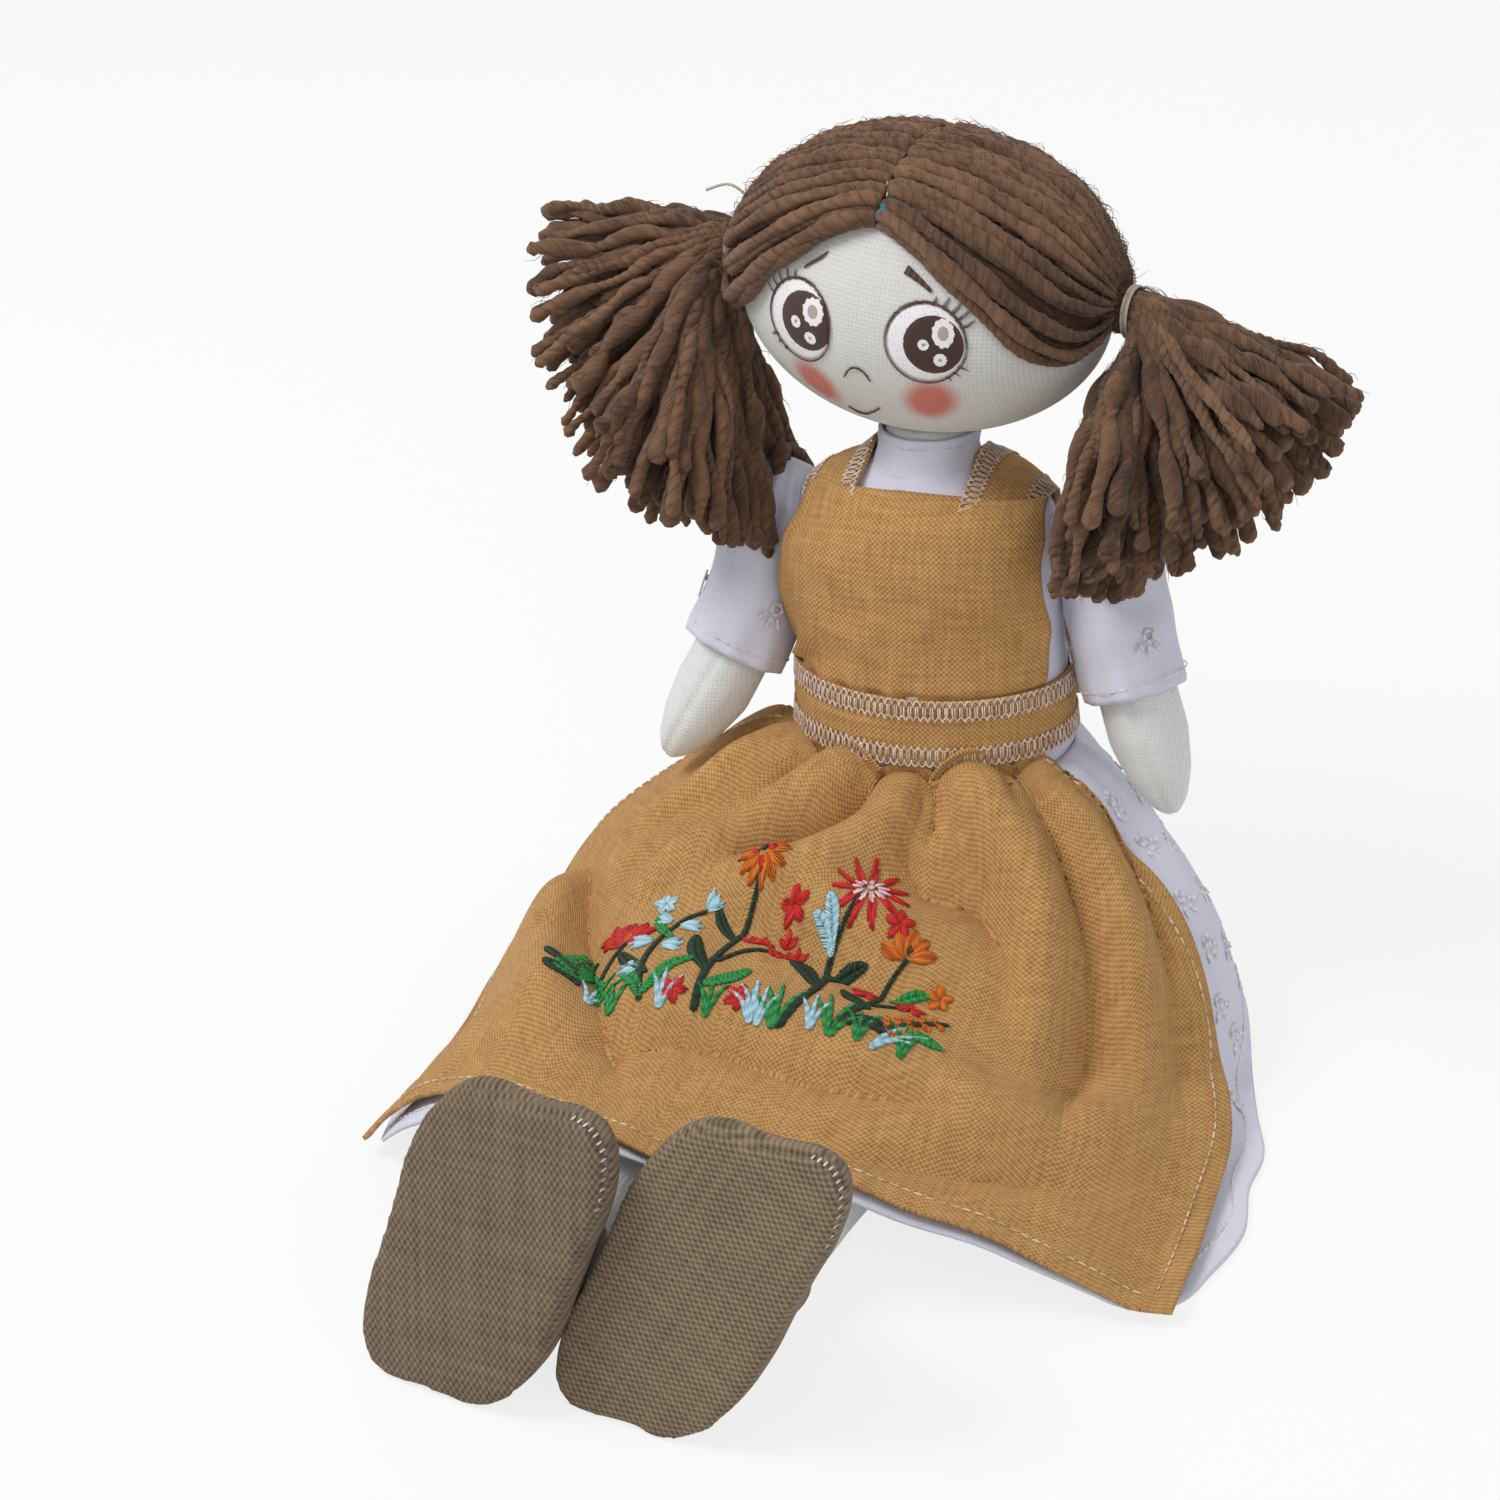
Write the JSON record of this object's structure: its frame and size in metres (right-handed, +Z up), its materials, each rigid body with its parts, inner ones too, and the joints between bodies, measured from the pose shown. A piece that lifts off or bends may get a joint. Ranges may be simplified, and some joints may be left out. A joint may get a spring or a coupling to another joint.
{
  "type": "rag doll",
  "caption": "Seated cloth doll with stuffed body, turning head and arms, swinging yarn bunches, and legs that fold with the skirts of a dress and pinafore.",
  "frame": {"origin": "middle of the flat seat under the body, on the floor plane", "axes": "+Z up; the doll faces -Y, so its own left hand is towards +X"},
  "size_m": [0.2251, 0.2618, 0.2198],
  "materials": {
    "cotton": "undyed woven cotton, stuffed",
    "dress": "white cotton with eyelets",
    "linen": "mustard linen with overlocked edges",
    "yarn": "thick and thin brown wool yarn",
    "eye_thread": "satin stitch in dark brown",
    "string": "twisted string",
    "shoe_knit": "ribbed khaki knit",
    "wood": "bare birch dowel",
    "card": "stiff felted insole"
  },
  "bodies": {
    "torso": {"torso": "cotton", "neck": "cotton", "neck_dowel": "wood", "dress_bodice": "dress", "dress_collar": "dress", "sash": "linen", "bib": "linen", "strap_left": "linen", "strap_right": "linen", "bow_knot": "linen", "bow_loop_left": "linen", "bow_loop_right": "linen", "bow_tail_left": "linen", "bow_tail_right": "linen", "dress_skirt_back": "dress", "apron_side_left": "linen", "apron_side_right": "linen", "arm_thread": "string"},
    "lap": {"dress_skirt_front": "dress", "apron_skirt": "linen"},
    "leg_left": {"leg_left": "cotton", "shoe_upper_left": "shoe_knit", "insole_left": "card", "shoe_sole_left": "shoe_knit"},
    "leg_right": {"leg_right": "cotton", "shoe_upper_right": "shoe_knit", "insole_right": "card", "shoe_sole_right": "shoe_knit"},
    "arm_left": {"arm_left": "cotton", "sleeve_left": "dress"},
    "arm_right": {"arm_right": "cotton", "sleeve_right": "dress"},
    "head": {"head": "cotton", "eye_left": "eye_thread", "eye_right": "eye_thread", "hair_left": "yarn", "hair_right": "yarn"},
    "bunch_left": {"bunch_left": "yarn", "hair_tie_left": "string"},
    "bunch_right": {"bunch_right": "yarn", "hair_tie_right": "string"}
  },
  "joints": [
    {"name": "hips_fold", "type": "hinge", "parent": "torso", "child": "lap", "pos_m": [-0.0058, -0.03, 0.02], "axis": [1, 0, 0], "range_deg": [0, 90]},
    {"name": "leg_left_spread", "type": "hinge", "parent": "lap", "child": "leg_left", "pos_m": [0.0144, -0.03, 0.02], "axis": [0, 0, 1], "range_deg": [0, 4]},
    {"name": "leg_right_spread", "type": "hinge", "parent": "lap", "child": "leg_right", "pos_m": [-0.026, -0.03, 0.02], "axis": [0, 0, -1], "range_deg": [0, 4]},
    {"name": "arm_left_swing", "type": "hinge", "parent": "torso", "child": "arm_left", "pos_m": [0.03038, 0.0039, 0.12165], "axis": [0.9962, 0.0099, 0.0866], "range_deg": [-50, 60]},
    {"name": "arm_right_swing", "type": "hinge", "parent": "torso", "child": "arm_right", "pos_m": [-0.0513, 0.00309, 0.11454], "axis": [0.9962, 0.0099, 0.0866], "range_deg": [-50, 60]},
    {"name": "head_turn", "type": "hinge", "parent": "torso", "child": "head", "pos_m": [-0.01307, 0.00092, 0.14847], "axis": [-0.0872, 0.1128, 0.9898], "range_deg": [-12, 12]},
    {"name": "bunch_left_swing", "type": "hinge", "parent": "head", "child": "bunch_left", "pos_m": [0.03751, 0.00038, 0.18534], "axis": [-0.139, -0.9846, 0.1061], "range_deg": [0, 50]},
    {"name": "bunch_right_swing", "type": "hinge", "parent": "head", "child": "bunch_right", "pos_m": [-0.06871, 0.0147, 0.17904], "axis": [0.139, 0.9846, -0.1061], "range_deg": [0, 50]}
  ]
}
